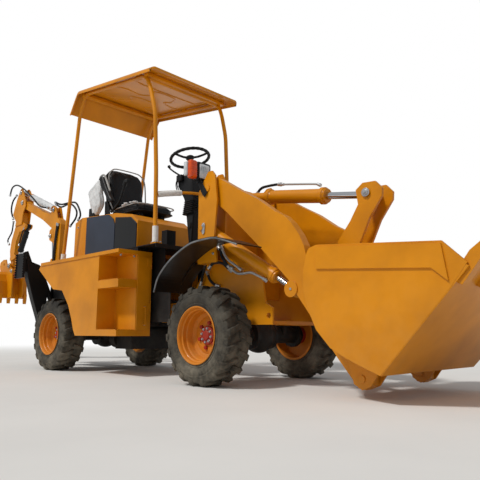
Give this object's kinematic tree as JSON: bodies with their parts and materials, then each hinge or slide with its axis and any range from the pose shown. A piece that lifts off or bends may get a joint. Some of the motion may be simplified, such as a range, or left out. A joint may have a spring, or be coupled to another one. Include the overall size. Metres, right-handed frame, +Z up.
{
  "type": "backhoe loader",
  "caption": "Articulated backhoe loader with a canopy, a toothed front bucket on a Z-bar linkage, and a rear digging arm with folding stabilisers.",
  "frame": {"origin": "on the ground, under the middle of the whole machine", "axes": "+X forwards to the loader bucket, +Y to the driver's left, +Z up"},
  "size_m": [7.8559, 1.534, 3.231],
  "materials": {
    "yellow_paint": "gloss enamel, orange yellow",
    "black_paint": "satin black enamel",
    "blue_grey_paint": "satin dark blue-grey enamel",
    "silver_paint": "satin silver enamel",
    "chromed_steel": "ground and polished hard chrome",
    "tyre": "matte tread rubber",
    "black_plastic": "matte moulded plastic",
    "seat_vinyl": "satin black vinyl"
  },
  "bodies": {
    "rear_frame": {"rear_chassis": "black_paint", "rear_axle": "black_paint", "engine_block": "black_paint", "engine_hood": "yellow_paint", "hood_side_panels": "blue_grey_paint", "side_boxes": "yellow_paint", "floor_plate": "black_paint", "operator_seat": "seat_vinyl", "control_levers": "black_plastic", "canopy_posts": "yellow_paint", "canopy_roof": "yellow_paint", "steering_console": "black_plastic"},
    "front_half": {"front_frame": "yellow_paint", "front_axle": "black_paint", "front_fenders": "black_plastic", "work_lamps": "black_plastic"},
    "wheel_front_right": {"tyre_front_right": "tyre", "rim_front_right": "yellow_paint"},
    "wheel_front_left": {"tyre_front_left": "tyre", "rim_front_left": "yellow_paint"},
    "wheel_rear_right": {"tyre_rear_right": "tyre", "rim_rear_right": "yellow_paint"},
    "wheel_rear_left": {"tyre_rear_left": "tyre", "rim_rear_left": "yellow_paint"},
    "steering_wheel": {"steering_wheel": "black_plastic"},
    "door_right": {"box_door_right": "yellow_paint"},
    "door_left": {"box_door_left": "yellow_paint"},
    "loader_lift": {"loader_arms": "yellow_paint"},
    "lift_barrels": {"lift_barrels": "yellow_paint"},
    "lift_rods": {"lift_rods": "chromed_steel"},
    "rocker": {"loader_rocker": "yellow_paint"},
    "bucket_link": {"loader_bucket_link": "yellow_paint"},
    "front_bucket": {"loader_bucket": "yellow_paint"},
    "tilt_barrel": {"tilt_barrel": "yellow_paint"},
    "tilt_rod": {"tilt_rod": "chromed_steel"},
    "swing_post": {"swing_post": "yellow_paint"},
    "boom": {"backhoe_boom": "yellow_paint"},
    "dipper": {"dipper_arm": "yellow_paint"},
    "rear_bucket": {"digging_bucket": "yellow_paint"},
    "rear_rocker": {"bucket_rocker": "yellow_paint"},
    "push_link": {"bucket_push_link": "yellow_paint"},
    "boom_barrel": {"boom_barrel": "yellow_paint"},
    "boom_rod": {"boom_rod": "chromed_steel"},
    "dipper_barrel": {"dipper_barrel": "yellow_paint"},
    "dipper_rod": {"dipper_rod": "chromed_steel"},
    "digger_barrel": {"digger_barrel": "yellow_paint"},
    "digger_rod": {"digger_rod": "chromed_steel"},
    "stabiliser_right": {"stabiliser_leg_right": "black_paint"},
    "stabiliser_left": {"stabiliser_leg_left": "black_paint"},
    "stab_barrel_right": {"stabiliser_barrel_right": "silver_paint"},
    "stab_barrel_left": {"stabiliser_barrel_left": "silver_paint"},
    "stab_rod_right": {"stabiliser_rod_right": "chromed_steel"},
    "stab_rod_left": {"stabiliser_rod_left": "chromed_steel"}
  },
  "joints": [
    {"name": "articulation", "type": "hinge", "parent": "rear_frame", "child": "front_half", "pos_m": [0.476, 0, 0.6], "axis": [0, 0, 1], "range_deg": [-30, 30]},
    {"name": "wheel_front_right", "type": "hinge", "parent": "front_half", "child": "wheel_front_right", "pos_m": [1.7095, -0.59, 0.3865], "axis": [0, 1, 0], "continuous": true},
    {"name": "wheel_front_left", "type": "hinge", "parent": "front_half", "child": "wheel_front_left", "pos_m": [1.7095, 0.59, 0.3865], "axis": [0, 1, 0], "continuous": true},
    {"name": "wheel_rear_right", "type": "hinge", "parent": "rear_frame", "child": "wheel_rear_right", "pos_m": [-0.7575, -0.59, 0.3865], "axis": [0, 1, 0], "continuous": true},
    {"name": "wheel_rear_left", "type": "hinge", "parent": "rear_frame", "child": "wheel_rear_left", "pos_m": [-0.7575, 0.59, 0.3865], "axis": [0, 1, 0], "continuous": true},
    {"name": "steering_column", "type": "hinge", "parent": "rear_frame", "child": "steering_wheel", "pos_m": [0.733, 0, 2.209], "axis": [-0.2419, 0, 0.9703], "range_deg": [-540, 540]},
    {"name": "door_right_hinge", "type": "hinge", "parent": "rear_frame", "child": "door_right", "pos_m": [0.608, -0.357, 0.653], "axis": [0, 0, 1], "range_deg": [0, 90]},
    {"name": "door_left_hinge", "type": "hinge", "parent": "rear_frame", "child": "door_left", "pos_m": [0.608, 0.357, 0.653], "axis": [0, 0, 1], "range_deg": [-90, 0]},
    {"name": "loader_arms", "type": "hinge", "parent": "front_half", "child": "loader_lift", "pos_m": [1.536, 0, 1.64], "axis": [0, -1, 0], "range_deg": [0, 72]},
    {"name": "lift_barrel_pivot", "type": "hinge", "parent": "front_half", "child": "lift_barrels", "pos_m": [1.469, 0, 1.3], "axis": [0, -1, 0], "range_deg": [-1.5, 70.76]},
    {"name": "lift_rod", "type": "slide", "parent": "lift_barrels", "child": "lift_rods", "axis": [0.8572, 0, -0.515], "range_m": [-0.003, 0.40871]},
    {"name": "loader_bucket", "type": "hinge", "parent": "loader_lift", "child": "front_bucket", "pos_m": [3.016, 0, 0.123], "axis": [0, 1, 0], "range_deg": [0, 100]},
    {"name": "rocker_pivot", "type": "hinge", "parent": "loader_lift", "child": "rocker", "pos_m": [2.57, 0, 0.834], "axis": [0, -1, 0], "range_deg": [-1.5, 27.94]},
    {"name": "bucket_link_pivot", "type": "hinge", "parent": "rocker", "child": "bucket_link", "pos_m": [2.492, 0, 0.535], "axis": [0, -1, 0], "range_deg": [-16.84, 1.5]},
    {"name": "tilt_barrel_pivot", "type": "hinge", "parent": "loader_lift", "child": "tilt_barrel", "pos_m": [1.536, 0, 1.64], "axis": [0, -1, 0], "range_deg": [-1.5, 3.51]},
    {"name": "tilt_rod", "type": "slide", "parent": "tilt_barrel", "child": "tilt_rod", "axis": [0.9874, 0, -0.1584], "range_m": [-0.30478, 0.003]},
    {"name": "backhoe_swing", "type": "hinge", "parent": "rear_frame", "child": "swing_post", "pos_m": [-1.724, 0, 0.75], "axis": [0, 0, 1], "range_deg": [-65, 65]},
    {"name": "backhoe_boom", "type": "hinge", "parent": "swing_post", "child": "boom", "pos_m": [-1.914, 0, 0.65], "axis": [0, -1, 0], "range_deg": [-10, 62]},
    {"name": "boom_barrel_pivot", "type": "hinge", "parent": "swing_post", "child": "boom_barrel", "pos_m": [-2.084, 0, 0.54], "axis": [0, -1, 0], "range_deg": [-11.54, 63.77]},
    {"name": "boom_rod", "type": "slide", "parent": "boom_barrel", "child": "boom_rod", "axis": [-0.1517, 0, 0.9884], "range_m": [-0.21168, 0.03666]},
    {"name": "dipper", "type": "hinge", "parent": "boom", "child": "dipper", "pos_m": [-3.264, 0, 2.396], "axis": [0, -1, 0], "range_deg": [-65, 32]},
    {"name": "dipper_barrel_pivot", "type": "hinge", "parent": "boom", "child": "dipper_barrel", "pos_m": [-2.224, 0, 2.12], "axis": [0, -1, 0], "range_deg": [-6.67, 4.05]},
    {"name": "dipper_rod", "type": "slide", "parent": "dipper_barrel", "child": "dipper_rod", "axis": [-0.9279, 0, 0.3728], "range_m": [-0.17383, 0.0871]},
    {"name": "digging_bucket", "type": "hinge", "parent": "dipper", "child": "rear_bucket", "pos_m": [-3.538, 0, 1.42], "axis": [0, -1, 0], "range_deg": [-60, 28]},
    {"name": "bucket_rocker_pivot", "type": "hinge", "parent": "dipper", "child": "rear_rocker", "pos_m": [-3.56, 0, 1.541], "axis": [0, -1, 0], "range_deg": [-43.36, 21.04]},
    {"name": "push_link_pivot", "type": "hinge", "parent": "rear_rocker", "child": "push_link", "pos_m": [-3.419, 0, 1.562], "axis": [0, -1, 0], "range_deg": [-7.73, 14.86]},
    {"name": "digger_barrel_pivot", "type": "hinge", "parent": "dipper", "child": "digger_barrel", "pos_m": [-3.139, 0, 2.011], "axis": [0, -1, 0], "range_deg": [-3.68, 6.18]},
    {"name": "digger_rod", "type": "slide", "parent": "digger_barrel", "child": "digger_rod", "axis": [-0.5291, 0, -0.8485], "range_m": [-0.04273, 0.08813]},
    {"name": "stabiliser_right", "type": "hinge", "parent": "rear_frame", "child": "stabiliser_right", "pos_m": [-1.559, -0.4, 0.44], "axis": [1, 0, 0], "range_deg": [0, 95]},
    {"name": "stab_barrel_pivot_right", "type": "hinge", "parent": "rear_frame", "child": "stab_barrel_right", "pos_m": [-1.559, -0.265, 0.66], "axis": [1, 0, 0], "range_deg": [-1.5, 94.63]},
    {"name": "stab_rod_right", "type": "slide", "parent": "stab_barrel_right", "child": "stab_rod_right", "axis": [0, -0.4036, 0.9149], "range_m": [-0.003, 0.38707]},
    {"name": "stabiliser_left", "type": "hinge", "parent": "rear_frame", "child": "stabiliser_left", "pos_m": [-1.559, 0.4, 0.44], "axis": [-1, 0, 0], "range_deg": [0, 95]},
    {"name": "stab_barrel_pivot_left", "type": "hinge", "parent": "rear_frame", "child": "stab_barrel_left", "pos_m": [-1.559, 0.265, 0.66], "axis": [-1, 0, 0], "range_deg": [-1.5, 94.63]},
    {"name": "stab_rod_left", "type": "slide", "parent": "stab_barrel_left", "child": "stab_rod_left", "axis": [0, 0.4036, 0.9149], "range_m": [-0.003, 0.38707]}
  ],
  "couplings": [
    {"joint": "lift_barrel_pivot", "follows": "loader_arms", "ratio": 0.9619},
    {"joint": "lift_rod", "follows": "loader_arms", "m_per_rad": 0.32285},
    {"joint": "rocker_pivot", "follows": "loader_bucket", "ratio": 0.2644},
    {"joint": "bucket_link_pivot", "follows": "loader_bucket", "ratio": -0.1534},
    {"joint": "tilt_barrel_pivot", "follows": "loader_bucket", "ratio": 0.0201},
    {"joint": "tilt_rod", "follows": "loader_bucket", "m_per_rad": -0.17291},
    {"joint": "boom_barrel_pivot", "follows": "backhoe_boom", "ratio": 1.0044},
    {"joint": "boom_rod", "follows": "backhoe_boom", "m_per_rad": -0.19285},
    {"joint": "dipper_barrel_pivot", "follows": "dipper", "ratio": 0.0796},
    {"joint": "dipper_rod", "follows": "dipper", "m_per_rad": 0.15058},
    {"joint": "bucket_rocker_pivot", "follows": "digging_bucket", "ratio": 0.6977},
    {"joint": "push_link_pivot", "follows": "digging_bucket", "ratio": -0.2226},
    {"joint": "digger_barrel_pivot", "follows": "digging_bucket", "ratio": -0.07793},
    {"joint": "digger_rod", "follows": "digging_bucket", "m_per_rad": -0.08129},
    {"joint": "stab_barrel_pivot_right", "follows": "stabiliser_right", "ratio": 0.9803},
    {"joint": "stab_rod_right", "follows": "stabiliser_right", "m_per_rad": 0.23164},
    {"joint": "stab_barrel_pivot_left", "follows": "stabiliser_left", "ratio": 0.9803},
    {"joint": "stab_rod_left", "follows": "stabiliser_left", "m_per_rad": 0.23164}
  ]
}
